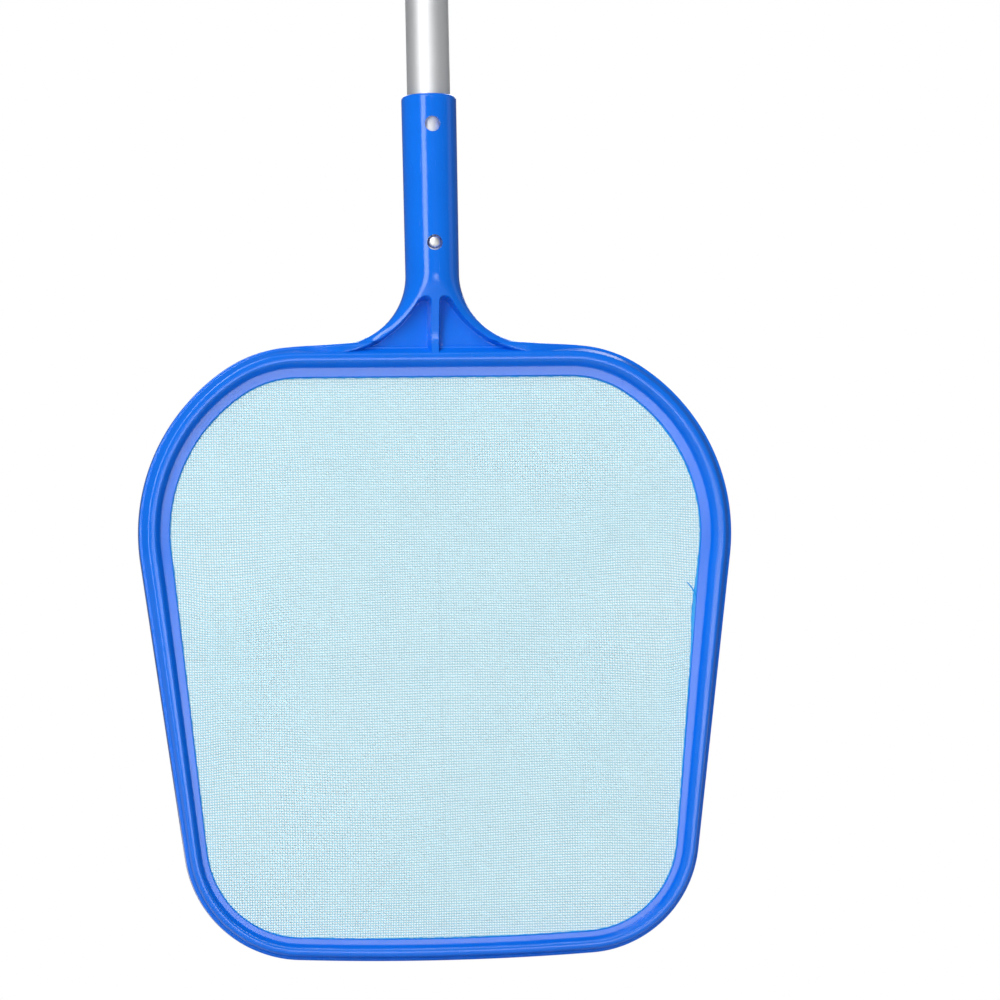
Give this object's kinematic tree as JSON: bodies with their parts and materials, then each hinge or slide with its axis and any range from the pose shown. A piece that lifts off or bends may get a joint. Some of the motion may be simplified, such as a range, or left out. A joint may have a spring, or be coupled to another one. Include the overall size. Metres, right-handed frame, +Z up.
{
  "type": "leaf skimmer",
  "caption": "Flat pool leaf skimmer: a rigid frame holding fine net, a socket with snap-button locks, a sectional tube pole and a hand grip.",
  "frame": {"origin": "middle of the hand grip, on the pole's axis", "axes": "+Z up the pole towards the grip's closed end, -Y out of the open front of the net, +X to the right seen from the front"},
  "size_m": [0.3052, 0.0296, 1.8779],
  "materials": {
    "frame_plastic": "glossy moulded polypropylene",
    "grip_plastic": "satin moulded plastic",
    "net_thread": "fine woven plastic net",
    "anodised_aluminium": "satin anodised, drawn lengthways",
    "spring_steel": "rolled strip",
    "button_steel": "bright plated"
  },
  "bodies": {
    "root": {"head_frame": "frame_plastic", "net_mesh": "net_thread", "pole_section_lower": "anodised_aluminium", "pole_section_middle": "anodised_aluminium", "pole_section_upper": "anodised_aluminium", "hand_grip": "grip_plastic", "head_snap_spring": "spring_steel", "lower_snap_spring": "spring_steel", "middle_snap_spring": "spring_steel"},
    "head_button": {"head_snap_button": "button_steel"},
    "lower_button": {"lower_snap_button": "button_steel"},
    "middle_button": {"middle_snap_button": "button_steel"}
  },
  "joints": [
    {"name": "head_button_press", "type": "slide", "parent": "root", "child": "head_button", "axis": [0, 1, 0], "range_m": [0, 0.003], "stiffness_N_per_m": 3000, "springref_m": -0.0015, "deforming": ["head_snap_spring"]},
    {"name": "lower_button_press", "type": "slide", "parent": "root", "child": "lower_button", "axis": [0, 1, 0], "range_m": [0, 0.003], "stiffness_N_per_m": 3000, "springref_m": -0.0015, "deforming": ["lower_snap_spring"]},
    {"name": "middle_button_press", "type": "slide", "parent": "root", "child": "middle_button", "axis": [0, 1, 0], "range_m": [0, 0.003], "stiffness_N_per_m": 3000, "springref_m": -0.0015, "deforming": ["middle_snap_spring"]}
  ]
}
